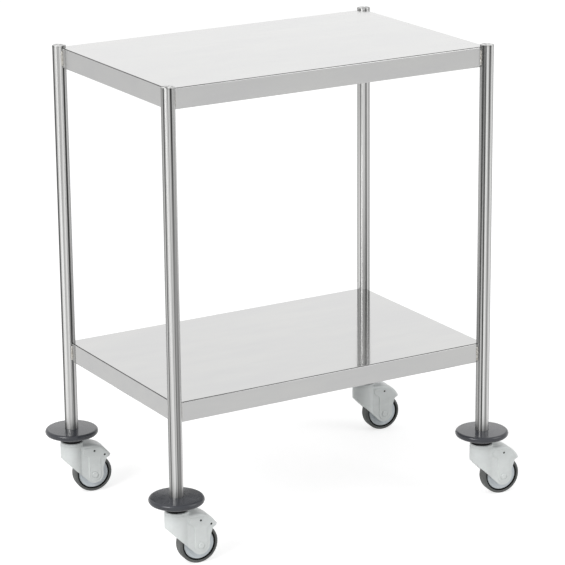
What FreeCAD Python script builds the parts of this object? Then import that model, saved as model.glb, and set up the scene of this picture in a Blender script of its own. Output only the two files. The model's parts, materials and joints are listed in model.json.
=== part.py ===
import FreeCAD, Part
import math
import os

from FreeCAD import Vector

# Instrument trolley: two folded stainless shelves welded between four tube legs,
# each leg on a swivel castor below a round rubber buffer. Millimetres, +Z up.
# The origin is on the floor, in the middle of the outline seen from above.

# Frame
LEG_SPACING_LONG = 665.0
LEG_SPACING_SHORT = 425.0
TUBE_RADIUS = 12.7
TUBE_WALL = 1.2
TOP_SURFACE = 880.0
SHELF_DROP = 572.0
LEG_PROUD = 1.2

# Shelves, folded from one sheet each
SHEET = 1.2
SKIRT_DEPTH = 38.0
RETURN_LIP = 13.0
FOLD_RADIUS = 2.2
WELD_LEG = 2.6
WELD_END_GAP = 3.0

# Folded channels under each shelf
CHANNEL_WIDTH = 46.0
CHANNEL_DEPTH = 20.0
CHANNEL_FLANGE = 12.0
CHANNEL_PLACE = 165.0
CHANNEL_END_GAP = 6.0

# Caps that close the legs
CAP_THICKNESS = 2.2
CAP_EDGE = 0.7
CAP_SPIGOT = 7.0
CAP_WALL = 1.6

# Fits
PRESS_GAP = 0.02
RUNNING_GAP = 0.05
FACE_GAP = 0.3

# Wheel
WHEEL_RADIUS = 37.5
TYRE_WIDTH = 24.0
TYRE_SHOULDER = 4.5
TREAD_DEPTH = 5.6
SIDE_EDGE = 1.0
GUARD_WIDTH = 2.6
GUARD_INSET = 1.7
GUARD_THICKNESS = 1.8
GUARD_EDGE = 0.4
HUB_DISC_INSET = 2.6
HUB_DISH = 1.0
HUB_RIM_WIDTH = 6.0
HUB_BOSS_RADIUS = 9.0
AXLE_RADIUS = 4.0
AXLE_CAP_RADIUS = 5.6
AXLE_CAP_THICKNESS = 1.6
AXLE_CAP_EDGE = 0.5
CAP_RECESS_RADIUS = 6.8
CAP_RECESS_DEPTH = 0.6

# Castor housing
TRAIL = 38.0
HEAD_RADIUS = 23.0
HEAD_RISE = 6.5
HEAD_STEP = 0.6
HEAD_EDGE = 1.0
HOUSING_HALF_WIDTH = 19.8
PANEL_RISE = 1.1
EAR_INNER = 14.0
BOSS_RADIUS = 17.5
WHEEL_ROOM = 3.5
FENDER_CROWN = 24.5
FENDER_MARGIN = 7.5
FENDER_SETBACK = 8.0
SHOULDER_RADIUS = 6.0
NOSE_SETBACK = 5.0
NOSE_FACE = 2.6
NOSE_ROUND = 2.0
NOTCH_SETBACK = 8.5
NOTCH_DROP = 3.4
EAR_WAIST = 11.5
PIN_RISE = 11.0
PIN_RADIUS = 2.0
PIN_RECESS = 3.5

# Raised panel on the outside of each ear, its heights above the tyre's top
PANEL_LEG = 12.0
PANEL_LEG_ROUND = 11.5
PANEL_SHOULDER = 1.0
PANEL_TOP = 18.0
PANEL_FRONT = 23.0
PANEL_BACK = 22.0
PANEL_CORNER = 6.0
PANEL_EDGE = 0.5

# Swivel
SWIVEL_BORE = 17.0
BORE_WEB = 2.5
STEM_RADIUS = 6.0
STEM_HEAD_RADIUS = 11.0
STEM_HEAD = 5.0
STEM_COLLAR_RADIUS = 10.0
STEM_LENGTH_IN_TUBE = 59.0
STEM_CONE = 9.0
STEM_CONE_GAP = 1.0
BEARING_TOP_GAP = 1.5
SEAL_RADIUS = 20.5
SEAL_HEIGHT = 3.7
SEAL_EDGE = 0.8

# Buffer
BUFFER_RADIUS = 51.0
BUFFER_RIM = 11.0
BUFFER_RIM_FLAT = 1.0
BUFFER_RISE = 20.5
NECK_RADIUS = 22.0
NECK_FLARE = 3.0
TUBE_FOOT_RISE = 25.0
SOCKET_LIP = 2.2

# Brake pedal of the two left castors
PIVOT_REACH = 20.5
PIVOT_RISE = 1.0
PIVOT_RADIUS = 2.0
PEDAL_START = 10.0
PEDAL_OVERHANG = 2.5
PEDAL_THICKNESS = 5.0
SHOE_CLEARANCE = 3.0
SHOE_START_ANGLE = 46.0
SHOE_END_ANGLE = 62.0
PEDAL_END_ANGLE = 27.0

# Angle in degrees from +X at which each castor trails
TRAIL_ANGLES = {
    "front_left": -5.0,
    "back_left": -8.0,
    "front_right": -8.0,
    "back_right": -7.0,
}
BRAKED = ("front_left", "back_left")

UP = Vector(0, 0, 1)
ACROSS = Vector(0, 1, 0)
ZERO = Vector(0, 0, 0)


# Heights and places that follow the wheel

def tyre_top():
    return 2 * WHEEL_RADIUS


def fender_top():
    return tyre_top() + FENDER_CROWN


def head_top():
    return fender_top() + HEAD_RISE


def bore_floor():
    return tyre_top() + BORE_WEB


def tube_foot():
    return head_top() + TUBE_FOOT_RISE


def stem_top():
    return tube_foot() + STEM_LENGTH_IN_TUBE


def neck_foot():
    return head_top() + FACE_GAP + SEAL_HEIGHT


def tyre_side_radius():
    return WHEEL_RADIUS - TREAD_DEPTH


def tyre_seat_radius():
    return tyre_side_radius() - GUARD_WIDTH


def fender_radius():
    return WHEEL_RADIUS + FENDER_MARGIN


def fender_centre_x():
    return TRAIL - FENDER_SETBACK


def fender_height(x):
    """Height of the fender's top at x."""
    if x <= fender_centre_x():
        return fender_top()
    centre = fender_top() - fender_radius()
    return centre + math.sqrt(fender_radius() ** 2 - (x - fender_centre_x()) ** 2)


def nose_reach():
    return TRAIL + WHEEL_RADIUS - NOSE_SETBACK


def nose_low():
    return fender_height(nose_reach()) - NOSE_FACE


# Geometry helpers

def corner_points(before, corner, after, radius):
    """Start, middle and end of the arc that rounds a corner of an outline."""
    inward = before.sub(corner).normalize()
    outward = after.sub(corner).normalize()
    half = inward.getAngle(outward) / 2.0
    reach = radius / math.tan(half)
    bisector = inward.add(outward).normalize()
    middle = corner + bisector * (radius / math.sin(half) - radius)
    return corner + inward * reach, middle, corner + outward * reach


def rounded_face(corners, to_space):
    """Flat face from corners (u, v, radius); to_space places (u, v) in space."""
    points = [to_space(u, v) for u, v, _ in corners]
    edges = []
    ends = []
    for index, (_, _, radius) in enumerate(corners):
        corner = points[index]
        if radius == 0:
            ends.append((corner, None, corner))
            continue
        after = points[(index + 1) % len(points)]
        ends.append(corner_points(points[index - 1], corner, after, radius))
    for index, (start, middle, end) in enumerate(ends):
        if middle is not None:
            edges.append(Part.Arc(start, middle, end).toShape())
        following = ends[(index + 1) % len(ends)][0]
        if end.distanceToPoint(following) > 1e-6:
            edges.append(Part.LineSegment(end, following).toShape())
    return Part.Face(Part.Wire(edges))


def side_view(u, v):
    """Point of a castor's side view: u along the trail, v above the floor."""
    return Vector(u, 0, v)


def section(u, v):
    """Point of a turned section: u from the axis, v along it."""
    return Vector(u, v, 0)


def turned_upright(corners):
    """Solid turned round the upright axis from (radius, height, rounding)."""
    return rounded_face(corners, side_view).revolve(ZERO, UP, 360)


def turned_across(corners):
    """Solid turned round the wheel's axis, centred on the wheel."""
    solid = rounded_face(corners, section).revolve(ZERO, ACROSS, 360)
    return solid.translated(Vector(TRAIL, 0, WHEEL_RADIUS))


def slab(face, low, high):
    """Extrude a side-view face across the castor, from low to high."""
    return face.translated(Vector(0, low, 0)).extrude(Vector(0, high - low, 0))


def cross_pin(x, z, radius, half_length):
    """Round pin along the wheel's axis direction."""
    return Part.makeCylinder(radius, 2 * half_length, Vector(x, -half_length, z), ACROSS)


def upright_rod(radius, low, high, x=0.0, y=0.0):
    """Round rod standing at x, y."""
    return Part.makeCylinder(radius, high - low, Vector(x, y, low), UP)


def centred_box(length, width, low, high):
    """Box centred on the upright axis."""
    return Part.makeBox(length, width, high - low, Vector(-length / 2, -width / 2, low))


def level_edges(solid, height):
    """Edges that lie in the plane at this height."""
    found = []
    for edge in solid.Edges:
        box = edge.BoundBox
        if abs(box.ZMin - height) < 1e-4 and abs(box.ZMax - height) < 1e-4:
            found.append(edge)
    return found


# Frame

def leg_places():
    """Leg axes by name."""
    places = {}
    for name in TRAIL_ANGLES:
        x = LEG_SPACING_LONG / 2 if "right" in name else -LEG_SPACING_LONG / 2
        y = LEG_SPACING_SHORT / 2 if "back" in name else -LEG_SPACING_SHORT / 2
        places[name] = Vector(x, y, 0)
    return places


def leg_top():
    return TOP_SURFACE + LEG_PROUD


def folded_sheet(length, width, low, high, radius):
    """Block with every edge round its top and bottom folded to a radius."""
    block = centred_box(length, width, low, high)
    edges = level_edges(block, low) + level_edges(block, high)
    return block.makeFillet(radius, edges)


def shelf(surface):
    """Sheet with skirts and return lips, notched round the four legs."""
    low = surface - SKIRT_DEPTH
    outer = folded_sheet(LEG_SPACING_LONG, LEG_SPACING_SHORT, low, surface, FOLD_RADIUS)
    inner = folded_sheet(
        LEG_SPACING_LONG - 2 * SHEET,
        LEG_SPACING_SHORT - 2 * SHEET,
        low + SHEET,
        surface - SHEET,
        FOLD_RADIUS - SHEET,
    )
    window = centred_box(
        LEG_SPACING_LONG - 2 * RETURN_LIP,
        LEG_SPACING_SHORT - 2 * RETURN_LIP,
        low,
        low + 2 * SHEET,
    )
    sheet = outer.cut(inner).cut(window)
    for place in leg_places().values():
        sheet = sheet.cut(upright_rod(TUBE_RADIUS, low, surface, place.x, place.y))
    return sheet


def corner_welds(surface):
    """Beads where the skirts meet the tubes, two at each leg."""
    low = surface - SKIRT_DEPTH
    block = centred_box(LEG_SPACING_LONG, LEG_SPACING_SHORT, low, surface)
    beads = []
    for place in leg_places().values():
        tube = upright_rod(TUBE_RADIUS, low, surface, place.x, place.y)
        seams = (
            Vector(place.x - math.copysign(TUBE_RADIUS, place.x), place.y, 0),
            Vector(place.x, place.y - math.copysign(TUBE_RADIUS, place.y), 0),
        )
        for seam in seams:
            rod = upright_rod(WELD_LEG, low + WELD_END_GAP, surface - WELD_END_GAP, seam.x, seam.y)
            beads.append(rod.cut(block).cut(tube).Solids[0])
    return Part.makeCompound(beads)


def stiffeners(surface):
    """Two folded channels across the underside of a shelf."""
    half = CHANNEL_WIDTH / 2
    foot = half + CHANNEL_FLANGE
    roof = surface - SHEET
    floor = roof - CHANNEL_DEPTH
    corners = [
        (-foot, roof, 0),
        (-foot, roof - SHEET, 0),
        (-half, roof - SHEET, SHEET),
        (-half, floor, 2 * SHEET),
        (half, floor, 2 * SHEET),
        (half, roof - SHEET, SHEET),
        (foot, roof - SHEET, 0),
        (foot, roof, 0),
        (half - SHEET, roof, 2 * SHEET),
        (half - SHEET, floor + SHEET, SHEET),
        (SHEET - half, floor + SHEET, SHEET),
        (SHEET - half, roof, 2 * SHEET),
    ]
    length = LEG_SPACING_SHORT - 2 * (SHEET + CHANNEL_END_GAP)
    channel = slab(rounded_face(corners, side_view), -length / 2, length / 2)
    places = (-CHANNEL_PLACE, CHANNEL_PLACE)
    return Part.makeCompound([channel.translated(Vector(x, 0, 0)) for x in places])


def leg():
    """Open tube between its foot in the buffer and its cap."""
    outside = upright_rod(TUBE_RADIUS, tube_foot(), leg_top())
    return outside.cut(upright_rod(TUBE_RADIUS - TUBE_WALL, tube_foot(), leg_top()))


def leg_cap():
    """Flat cap with a broken edge and a hollow spigot in the tube."""
    top = leg_top() + CAP_THICKNESS
    spigot = TUBE_RADIUS - TUBE_WALL - PRESS_GAP
    return turned_upright([
        (0, top, 0),
        (TUBE_RADIUS - CAP_EDGE, top, 0),
        (TUBE_RADIUS, top - CAP_EDGE, 0),
        (TUBE_RADIUS, leg_top(), 0),
        (spigot, leg_top(), 0),
        (spigot, leg_top() - CAP_SPIGOT, 0),
        (spigot - CAP_WALL, leg_top() - CAP_SPIGOT, 0),
        (spigot - CAP_WALL, leg_top(), 0),
        (0, leg_top(), 0),
    ])


# Buffer, stem and swivel, all round the leg's axis

def buffer():
    """Disc with a rounded rim, a neck below and a top that rises to the tube."""
    bore = STEM_RADIUS + RUNNING_GAP
    middle = head_top() + BUFFER_RISE
    low = middle - BUFFER_RIM / 2
    high = middle + BUFFER_RIM / 2
    rim = (BUFFER_RIM - BUFFER_RIM_FLAT) / 2
    socket = TUBE_RADIUS + PRESS_GAP
    return turned_upright([
        (bore, neck_foot(), 0),
        (NECK_RADIUS, neck_foot(), 0),
        (NECK_RADIUS, low - NECK_FLARE, 0),
        (NECK_RADIUS + NECK_FLARE, low, 0),
        (BUFFER_RADIUS, low, rim),
        (BUFFER_RADIUS, high, rim),
        (socket, tube_foot() + SOCKET_LIP, 0),
        (socket, tube_foot(), 0),
        (bore, tube_foot(), 0),
    ])


def stem():
    """Stem with a head below the bearing, a collar and a clamping cone."""
    head_low = bore_floor() + FACE_GAP
    head_high = head_low + STEM_HEAD
    collar_low = head_top() + FACE_GAP
    cone_low = stem_top() - STEM_CONE
    return turned_upright([
        (0, head_low, 0),
        (STEM_HEAD_RADIUS, head_low, 0),
        (STEM_HEAD_RADIUS, head_high, 0),
        (STEM_RADIUS, head_high, 0),
        (STEM_RADIUS, collar_low, 0),
        (STEM_COLLAR_RADIUS, collar_low, 0),
        (STEM_COLLAR_RADIUS, neck_foot(), 0),
        (STEM_RADIUS, neck_foot(), 0),
        (STEM_RADIUS, cone_low, 0),
        (TUBE_RADIUS - TUBE_WALL - STEM_CONE_GAP, cone_low, 0),
        (STEM_RADIUS, stem_top(), 0),
        (0, stem_top(), 0),
    ])


def expander():
    """Rubber sleeve squeezed between the stem and the tube."""
    high = stem_top() - STEM_CONE
    outside = upright_rod(TUBE_RADIUS - TUBE_WALL - PRESS_GAP, tube_foot(), high)
    return outside.cut(upright_rod(STEM_RADIUS + PRESS_GAP, tube_foot(), high))


def swivel_bearing():
    """Bearing in the head that turns on the stem."""
    low = bore_floor() + STEM_HEAD + 2 * FACE_GAP
    high = head_top() - BEARING_TOP_GAP
    return turned_upright([
        (STEM_RADIUS + RUNNING_GAP, low, 0),
        (SWIVEL_BORE, low, 0),
        (SWIVEL_BORE, high, 0),
        (STEM_RADIUS + RUNNING_GAP, high, 0),
    ])


def swivel_seal():
    """Dark ring in the gap above the swivel head."""
    low = head_top() + FACE_GAP
    return turned_upright([
        (STEM_COLLAR_RADIUS + PRESS_GAP, low, 0),
        (SEAL_RADIUS - SEAL_EDGE, low, 0),
        (SEAL_RADIUS, low + SEAL_EDGE, 0),
        (SEAL_RADIUS, neck_foot(), 0),
        (STEM_COLLAR_RADIUS + PRESS_GAP, neck_foot(), 0),
    ])


# Wheel

def tyre_half():
    return TYRE_WIDTH / 2


def tyre():
    """Elastic tyre with rounded shoulders, stepped for the side rings."""
    half = tyre_half()
    step = half - GUARD_INSET - GUARD_THICKNESS
    lower = [
        (tyre_seat_radius(), -step, 0),
        (tyre_side_radius(), -step, 0),
        (tyre_side_radius(), -half + SIDE_EDGE, 0),
        (tyre_side_radius() + SIDE_EDGE, -half, 0),
        (WHEEL_RADIUS, -half, TYRE_SHOULDER),
    ]
    upper = [(radius, -place, rounding) for radius, place, rounding in reversed(lower)]
    return turned_across(lower + upper)


def thread_guards():
    """Dark ring on each side, between the wheel disc and the tyre."""
    outer = tyre_half() - GUARD_INSET
    inner = outer - GUARD_THICKNESS
    rings = []
    for side in (-1, 1):
        corners = [
            (tyre_seat_radius(), side * inner, 0),
            (tyre_side_radius(), side * inner, 0),
            (tyre_side_radius(), side * (outer - GUARD_EDGE), 0),
            (tyre_side_radius() - GUARD_EDGE, side * outer, 0),
            (tyre_seat_radius(), side * outer, 0),
        ]
        rings.append(turned_across(corners))
    return Part.makeCompound(rings)


def hub():
    """Wheel centre with a slightly dished disc on each side and a boss."""
    disc = tyre_half() - HUB_DISC_INSET
    boss = EAR_INNER - FACE_GAP
    bore = AXLE_RADIUS + RUNNING_GAP
    lower = [
        (bore, -boss, 0),
        (HUB_BOSS_RADIUS, -boss, 0),
        (HUB_BOSS_RADIUS, HUB_DISH - disc, 0),
        (tyre_seat_radius() - HUB_RIM_WIDTH, -disc, 0),
        (tyre_seat_radius(), -disc, 0),
    ]
    upper = [(radius, -place, rounding) for radius, place, rounding in reversed(lower)]
    return turned_across(lower + upper)


def axle():
    """Pin through both ears with a broad cap on each end."""
    face = HOUSING_HALF_WIDTH + PANEL_RISE - CAP_RECESS_DEPTH
    end = HOUSING_HALF_WIDTH + PANEL_RISE + AXLE_CAP_THICKNESS
    lower = [
        (0, -end, 0),
        (AXLE_CAP_RADIUS - AXLE_CAP_EDGE, -end, 0),
        (AXLE_CAP_RADIUS, AXLE_CAP_EDGE - end, 0),
        (AXLE_CAP_RADIUS, -face, 0),
        (AXLE_RADIUS, -face, 0),
    ]
    upper = [(radius, -place, rounding) for radius, place, rounding in reversed(lower)]
    return turned_across(lower + upper)


# Castor housing

def lower_line_sum():
    """The sloping underside is the line x + z = constant, tangent to the boss."""
    return TRAIL + WHEEL_RADIUS - BOSS_RADIUS * math.sqrt(2)


def housing_outline():
    """Side view of the housing behind the swivel head."""
    diagonal = BOSS_RADIUS / math.sqrt(2)
    tangent = Vector(TRAIL - diagonal, 0, WHEEL_RADIUS - diagonal)
    bottom = Vector(TRAIL, 0, WHEEL_RADIUS - BOSS_RADIUS)
    right = Vector(TRAIL + BOSS_RADIUS, 0, WHEEL_RADIUS)
    waist = Vector(right.x, 0, WHEEL_RADIUS + EAR_WAIST)
    reach = nose_reach()
    notch = Vector(reach - NOTCH_SETBACK, 0, nose_low() - NOTCH_DROP)
    nose = Vector(reach - NOSE_ROUND, 0, nose_low())
    nose_side = Vector(reach, 0, nose_low() + NOSE_ROUND)
    sagitta = NOSE_ROUND * (1 - math.sqrt(0.5))
    bend = Vector(reach - sagitta, 0, nose_low() + sagitta)
    nose_top = Vector(reach, 0, fender_height(reach))
    middle_x = (fender_centre_x() + reach) / 2
    crest = Vector(fender_centre_x(), 0, fender_top())
    middle = Vector(middle_x, 0, fender_height(middle_x))
    front = Vector(-HEAD_RADIUS, 0, fender_top())
    foot = Vector(-HEAD_RADIUS, 0, lower_line_sum() + HEAD_RADIUS)
    edges = [
        Part.LineSegment(foot, tangent).toShape(),
        Part.Arc(tangent, bottom, right).toShape(),
        Part.LineSegment(right, waist).toShape(),
        Part.LineSegment(waist, notch).toShape(),
        Part.LineSegment(notch, nose).toShape(),
        Part.Arc(nose, bend, nose_side).toShape(),
        Part.LineSegment(nose_side, nose_top).toShape(),
        Part.Arc(nose_top, middle, crest).toShape(),
        Part.LineSegment(crest, front).toShape(),
        Part.LineSegment(front, foot).toShape(),
    ]
    return Part.Face(Part.Wire(edges))


def ear_panel(side):
    """Raised panel on an ear: broad above, a leg down to the axle."""
    shoulder = tyre_top() + PANEL_SHOULDER
    top = tyre_top() + PANEL_TOP
    back = TRAIL + PANEL_BACK
    front = TRAIL - PANEL_FRONT
    corners = [
        (TRAIL - PANEL_LEG, WHEEL_RADIUS - PANEL_LEG, PANEL_LEG_ROUND),
        (TRAIL + PANEL_LEG, WHEEL_RADIUS - PANEL_LEG, PANEL_LEG_ROUND),
        (TRAIL + PANEL_LEG, shoulder - PANEL_CORNER, PANEL_CORNER),
        (back, shoulder, PANEL_CORNER / 2),
        (back - PANEL_CORNER, top - PANEL_CORNER / 2, PANEL_CORNER),
        (TRAIL, top, PANEL_CORNER),
        (front, top, PANEL_CORNER),
        (front, shoulder + PANEL_CORNER, PANEL_CORNER),
        (TRAIL - PANEL_LEG, shoulder, PANEL_CORNER),
    ]
    face = rounded_face(corners, side_view)
    inside = HOUSING_HALF_WIDTH - PANEL_RISE
    outside = HOUSING_HALF_WIDTH + PANEL_RISE
    low, high = sorted((side * inside, side * outside))
    panel = slab(face, low, high)
    rim = []
    for edge in panel.Edges:
        box = edge.BoundBox
        if abs(box.YMin - side * outside) < 1e-4 and abs(box.YMax - side * outside) < 1e-4:
            rim.append(edge)
    return panel.makeChamfer(PANEL_EDGE, rim)


def fender_edges(solid):
    """Long edges where the fender's top and nose meet the two sides."""
    found = []
    for edge in solid.Edges:
        box = edge.BoundBox
        on_side = abs(abs(box.YMin) - HOUSING_HALF_WIDTH) < 1e-4 and box.YLength < 1e-4
        behind = box.XMax > fender_centre_x() - 1e-4
        if on_side and behind and box.ZMax > fender_height(nose_reach()) + 1e-4:
            found.append(edge)
    return found


def fork(braked):
    """Moulded housing: swivel head, ears and the fender over the wheel."""
    body = slab(housing_outline(), -HOUSING_HALF_WIDTH, HOUSING_HALF_WIDTH)
    plan = Part.makeBox(2 * nose_reach(), 2 * HOUSING_HALF_WIDTH, fender_top(),
                        Vector(0, -HOUSING_HALF_WIDTH, 0))
    body = body.common(plan)
    body = body.makeFillet(SHOULDER_RADIUS, fender_edges(body))
    head = upright_rod(HEAD_RADIUS, lower_line_sum() - HEAD_RADIUS, fender_top())
    neck = upright_rod(HEAD_RADIUS - HEAD_STEP, fender_top(), head_top())
    head = head.fuse(neck.makeChamfer(HEAD_EDGE, level_edges(neck, head_top())))
    below = rounded_face([
        (-2 * HEAD_RADIUS, lower_line_sum() + 2 * HEAD_RADIUS, 0),
        (2 * HEAD_RADIUS, lower_line_sum() - 2 * HEAD_RADIUS, 0),
        (-2 * HEAD_RADIUS, lower_line_sum() - 2 * HEAD_RADIUS, 0),
    ], side_view)
    head = head.cut(slab(below, -2 * HEAD_RADIUS, 2 * HEAD_RADIUS))
    body = body.fuse(head)
    for side in (-1, 1):
        body = body.fuse(ear_panel(side))
    room = cross_pin(TRAIL, WHEEL_RADIUS, WHEEL_RADIUS + WHEEL_ROOM, EAR_INNER)
    body = body.cut(room)
    body = body.cut(upright_rod(SWIVEL_BORE + PRESS_GAP, bore_floor(), head_top()))
    outer = HOUSING_HALF_WIDTH + PANEL_RISE
    body = body.cut(cross_pin(TRAIL, WHEEL_RADIUS, AXLE_RADIUS + PRESS_GAP, outer))
    for side in (-1, 1):
        centre = side * outer
        recess = cross_pin(TRAIL, WHEEL_RADIUS, CAP_RECESS_RADIUS, CAP_RECESS_DEPTH)
        body = body.cut(recess.translated(Vector(0, centre, 0)))
    body = body.cut(cross_pin(TRAIL, tyre_top() + PIN_RISE, PIN_RADIUS + PRESS_GAP, outer))
    if braked:
        body = body.cut(pedal_slot())
        body = body.cut(cross_pin(pivot().x, pivot().z, PIVOT_RADIUS + PRESS_GAP, outer))
    return body.removeSplitter()


def housing_pin():
    """Cross pin above the wheel, its ends deep in their holes."""
    half_length = HOUSING_HALF_WIDTH + PANEL_RISE - PIN_RECESS
    return cross_pin(TRAIL, tyre_top() + PIN_RISE, PIN_RADIUS, half_length)


# Brake

def pivot():
    """Centre of the pin that the pedal turns on."""
    return Vector(TRAIL + PIVOT_REACH, 0, tyre_top() + PIVOT_RISE)


def pedal_front():
    return TRAIL + PEDAL_START


def pedal_slot():
    """Opening in the back of the fender that the pedal works in."""
    low = pivot().z - PEDAL_THICKNESS - 2 * NOSE_ROUND
    corner = Vector(pedal_front() - FACE_GAP, -EAR_INNER, low)
    return Part.makeBox(nose_reach(), 2 * EAR_INNER, fender_top(), corner)


def pedal_pin():
    """Pin that the pedal turns on."""
    half_length = HOUSING_HALF_WIDTH + PANEL_RISE - PIN_RECESS
    return cross_pin(pivot().x, pivot().z, PIVOT_RADIUS, half_length)


def on_fender(degrees):
    """Point of the fender's top, by angle round the fender's centre."""
    x = fender_centre_x() + fender_radius() * math.cos(math.radians(degrees))
    return Vector(x, 0, fender_height(x))


def on_shoe(degrees):
    """Point of the shoe's rubbing face, seen from the side."""
    radius = WHEEL_RADIUS + SHOE_CLEARANCE
    angle = math.radians(degrees)
    return Vector(TRAIL + radius * math.cos(angle), 0, WHEEL_RADIUS + radius * math.sin(angle))


def brake_pedal():
    """Lever that fills the slot, ends in the nose and carries the shoe."""
    reach = nose_reach() + PEDAL_OVERHANG
    start_angle = math.degrees(math.acos((pedal_front() - fender_centre_x()) / fender_radius()))
    front = on_fender(start_angle)
    middle = on_fender((start_angle + PEDAL_END_ANGLE) / 2)
    end = on_fender(PEDAL_END_ANGLE)
    tip = Vector(reach, 0, nose_low() + NOSE_ROUND)
    tip_low = Vector(reach - NOSE_ROUND, 0, nose_low())
    shoe_back = on_shoe(SHOE_START_ANGLE)
    shoe_middle = on_shoe((SHOE_START_ANGLE + SHOE_END_ANGLE) / 2)
    shoe_front = on_shoe(SHOE_END_ANGLE)
    front_low = Vector(pedal_front(), 0, shoe_front.z + PEDAL_THICKNESS)
    edges = [
        Part.Arc(front, middle, end).toShape(),
        Part.LineSegment(end, tip).toShape(),
        Part.LineSegment(tip, tip_low).toShape(),
        Part.LineSegment(tip_low, shoe_back).toShape(),
        Part.Arc(shoe_back, shoe_middle, shoe_front).toShape(),
        Part.LineSegment(shoe_front, front_low).toShape(),
        Part.LineSegment(front_low, front).toShape(),
    ]
    face = Part.Face(Part.Wire(edges))
    half = EAR_INNER - FACE_GAP
    lever = slab(face, -half, half)
    return lever.cut(cross_pin(pivot().x, pivot().z, PIVOT_RADIUS + RUNNING_GAP, half))


# Assembly

def castor_pieces(braked):
    """Pieces of one castor, standing at the origin and trailing to +X."""
    pieces = {
        "buffer": buffer(),
        "stem": stem(),
        "expander": expander(),
        "swivel_seal": swivel_seal(),
        "swivel_bearing": swivel_bearing(),
        "fork": fork(braked),
        "housing_pin": housing_pin(),
        "axle": axle(),
        "hub": hub(),
        "thread_guards": thread_guards(),
        "tyre": tyre(),
    }
    if braked:
        pieces["brake_pedal"] = brake_pedal()
        pieces["pedal_pin"] = pedal_pin()
    return pieces


def wheel_reach(turn):
    """How far a trailing tyre reaches past its leg's axis along X."""
    angle = math.radians(turn)
    core = TRAIL + WHEEL_RADIUS - TYRE_SHOULDER
    side = tyre_half() - TYRE_SHOULDER
    return core * math.cos(angle) + side * abs(math.sin(angle)) + TYRE_SHOULDER


def origin_shift():
    """Move that centres the outline: the wheels trail past the right legs."""
    right = max(wheel_reach(turn) for name, turn in TRAIL_ANGLES.items() if "right" in name)
    return Vector((BUFFER_RADIUS - right) / 2, 0, 0)


def frame_pieces():
    """Shelves, their channels and welds, and the capped legs."""
    pieces = {}
    for level, surface in (("top", TOP_SURFACE), ("lower", TOP_SURFACE - SHELF_DROP)):
        pieces[level + "_shelf"] = shelf(surface)
        pieces[level + "_shelf_stiffeners"] = stiffeners(surface)
        pieces[level + "_shelf_welds"] = corner_welds(surface)
    for name, place in leg_places().items():
        pieces["leg_" + name] = leg().translated(place)
    caps = [leg_cap().translated(place) for place in leg_places().values()]
    pieces["leg_caps"] = Part.makeCompound(caps)
    return pieces


def trolley():
    """Every piece in place, by node name."""
    pieces = frame_pieces()
    sets = {braked: castor_pieces(braked) for braked in (False, True)}
    for name, turn in TRAIL_ANGLES.items():
        for piece, shape in sets[name in BRAKED].items():
            turned = shape.rotated(ZERO, UP, turn)
            pieces[name + "_" + piece] = turned.translated(leg_places()[name])
    return {name: shape.translated(origin_shift()) for name, shape in pieces.items()}


os.makedirs("parts", exist_ok=True)
for node, shape in trolley().items():
    shape.exportStep("parts/" + node + ".step")
print("origin shift along X", round(origin_shift().x, 4))
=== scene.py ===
import json
import math

import bmesh
import bpy
from mathutils import Matrix, Vector


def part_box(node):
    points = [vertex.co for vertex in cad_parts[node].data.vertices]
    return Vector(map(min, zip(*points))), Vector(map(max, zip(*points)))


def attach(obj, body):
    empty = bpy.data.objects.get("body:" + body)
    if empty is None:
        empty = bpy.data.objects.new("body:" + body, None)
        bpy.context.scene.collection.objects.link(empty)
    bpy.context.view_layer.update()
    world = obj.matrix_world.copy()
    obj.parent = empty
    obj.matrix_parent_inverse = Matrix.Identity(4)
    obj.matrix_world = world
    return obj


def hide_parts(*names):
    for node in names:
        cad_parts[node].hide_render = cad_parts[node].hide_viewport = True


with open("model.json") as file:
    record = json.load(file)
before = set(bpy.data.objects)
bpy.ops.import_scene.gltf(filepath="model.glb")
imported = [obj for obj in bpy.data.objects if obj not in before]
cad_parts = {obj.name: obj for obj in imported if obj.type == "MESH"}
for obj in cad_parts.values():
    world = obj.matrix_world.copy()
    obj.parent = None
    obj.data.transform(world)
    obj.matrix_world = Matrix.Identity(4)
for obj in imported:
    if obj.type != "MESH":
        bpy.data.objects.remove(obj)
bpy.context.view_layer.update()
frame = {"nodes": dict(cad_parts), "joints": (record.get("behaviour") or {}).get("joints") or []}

bl_info = {
    "name": "Instrument Trolley",
    "version": (1, 0, 0),
    "blender": (4, 5, 0),
    "location": "3D View > Sidebar > Trolley",
    "description": "Dresses the instrument trolley's frame with finished pieces and materials",
    "category": "Object",
}

MM = 0.001
# Vertices closer together than this, in metres, are joined
JOIN_DISTANCE = 1e-6
CASTORS = ("front_left", "back_left", "front_right", "back_right")
BRAKED = tuple(name for name in CASTORS if name + "_brake_pedal" in frame["nodes"])
JOINTS = {joint["name"]: joint for joint in frame["joints"]}


# Colours and places

def linear(hex_colour):
    """sRGB hex colour as linear red, green and blue with full alpha."""
    digits = hex_colour.lstrip("#")
    channels = [int(digits[i:i + 2], 16) / 255 for i in (0, 2, 4)]
    return [c / 12.92 if c <= 0.04045 else ((c + 0.055) / 1.055) ** 2.4 for c in channels] + [1.0]


def leg_axis(name):
    """Foot of a leg's axis on the floor, which is also its castor's swivel axis."""
    x, y, _ = JOINTS[name + "_swivel"]["pos_m"]
    return Vector((x, y, 0))


def wheel_centre(name):
    """Middle of a wheel, on its axle."""
    return Vector(JOINTS[name + "_wheel_spin"]["pos_m"])


def wheel_frame(name):
    """Matrix whose Z runs along the wheel's axle and X along the trail."""
    axle = Vector(JOINTS[name + "_wheel_spin"]["axis"])
    trail = wheel_centre(name) - leg_axis(name)
    trail.z = 0
    trail.normalize()
    turn = Matrix((trail, axle.cross(trail), axle)).transposed().to_4x4()
    return Matrix.Translation(wheel_centre(name)) @ turn


def height_range(node):
    """Lowest and highest Z of a CAD node."""
    low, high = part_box(node)
    return low.z, high.z


# Mesh building

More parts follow.
